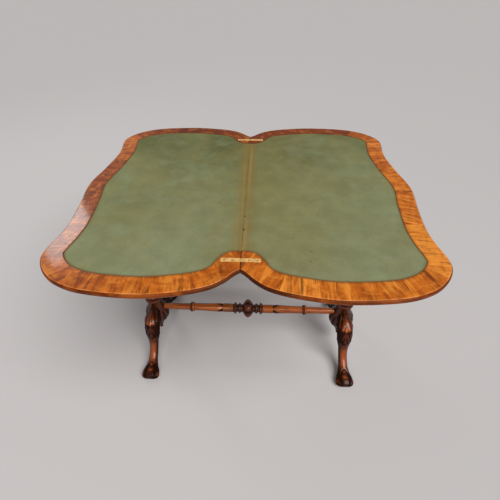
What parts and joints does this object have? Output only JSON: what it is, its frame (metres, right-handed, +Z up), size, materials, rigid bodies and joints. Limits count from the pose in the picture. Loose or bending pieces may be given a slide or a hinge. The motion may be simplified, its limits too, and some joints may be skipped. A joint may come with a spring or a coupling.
{
  "type": "card table",
  "caption": "Serpentine card table with a swivelling double top that folds on flush hinges, green baize, turned pillars, cabriole legs and a stretcher.",
  "frame": {"origin": "on the floor under the middle of the open top", "axes": "+X along the stretcher towards the fixed leaf, +Y along the joint between the leaves, +Z up"},
  "size_m": [0.943, 0.839, 0.74],
  "materials": {
    "walnut": "polished crossbanding and veneer",
    "dark_walnut": "polished moulded edge and undersides",
    "carved_walnut": "polished carved and turned walnut",
    "baize": "worn green baize",
    "brass": "old polished brass",
    "iron": "dark forged iron",
    "pine": "bare secondary wood"
  },
  "bodies": {
    "base": {"corner_block_left_far": "pine", "corner_block_left_near": "pine", "corner_block_right_far": "pine", "corner_block_right_near": "pine", "drop_finial_left": "carved_walnut", "drop_finial_right": "carved_walnut", "frieze_back": "walnut", "frieze_front": "walnut", "frieze_left": "walnut", "frieze_right": "walnut", "leg_dowel_left_far": "pine", "leg_dowel_left_near": "pine", "leg_dowel_right_far": "pine", "leg_dowel_right_near": "pine", "leg_left_far": "carved_walnut", "leg_left_near": "carved_walnut", "leg_right_far": "carved_walnut", "leg_right_near": "carved_walnut", "pillar_left": "carved_walnut", "pillar_right": "carved_walnut", "pivot_bearer": "pine", "stop_dowel": "pine", "stretcher_boss": "carved_walnut", "stretcher_rod_left": "walnut", "stretcher_rod_right": "walnut", "top_beam_left": "dark_walnut", "top_beam_right": "dark_walnut", "well_board": "pine", "well_partition": "pine"},
    "top": {"far_pin_fixed": "brass", "far_plate_fixed": "brass", "far_screw_fixed_1": "brass", "far_screw_fixed_2": "brass", "fixed_baize": "baize", "fixed_crossband": "walnut", "fixed_leaf": "dark_walnut", "near_pin_fixed": "brass", "near_plate_fixed": "brass", "near_screw_fixed_1": "brass", "near_screw_fixed_2": "brass", "pivot_bolt": "iron", "pivot_nut": "iron", "pivot_plate": "iron", "pivot_screw_1": "iron", "pivot_screw_2": "iron", "pivot_washer": "iron"},
    "hinge_links": {"far_hinge_link": "brass", "near_hinge_link": "brass"},
    "flap": {"far_pin_folding": "brass", "far_plate_folding": "brass", "far_screw_folding_1": "brass", "far_screw_folding_2": "brass", "folding_baize": "baize", "folding_crossband": "walnut", "folding_leaf": "dark_walnut", "near_pin_folding": "brass", "near_plate_folding": "brass", "near_screw_folding_1": "brass", "near_screw_folding_2": "brass"}
  },
  "joints": [
    {"name": "top_swivel", "type": "hinge", "parent": "base", "child": "top", "pos_m": [0.117, 0.117, 0.7235], "axis": [0, 0, 1], "range_deg": [-90, 0]},
    {"name": "link_fold", "type": "hinge", "parent": "top", "child": "hinge_links", "pos_m": [0.0027, 0, 0.7376], "axis": [0, 1, 0], "range_deg": [0, 90]},
    {"name": "leaf_fold", "type": "hinge", "parent": "hinge_links", "child": "flap", "pos_m": [-0.0027, 0, 0.7376], "axis": [0, 1, 0], "range_deg": [0, 90]}
  ]
}
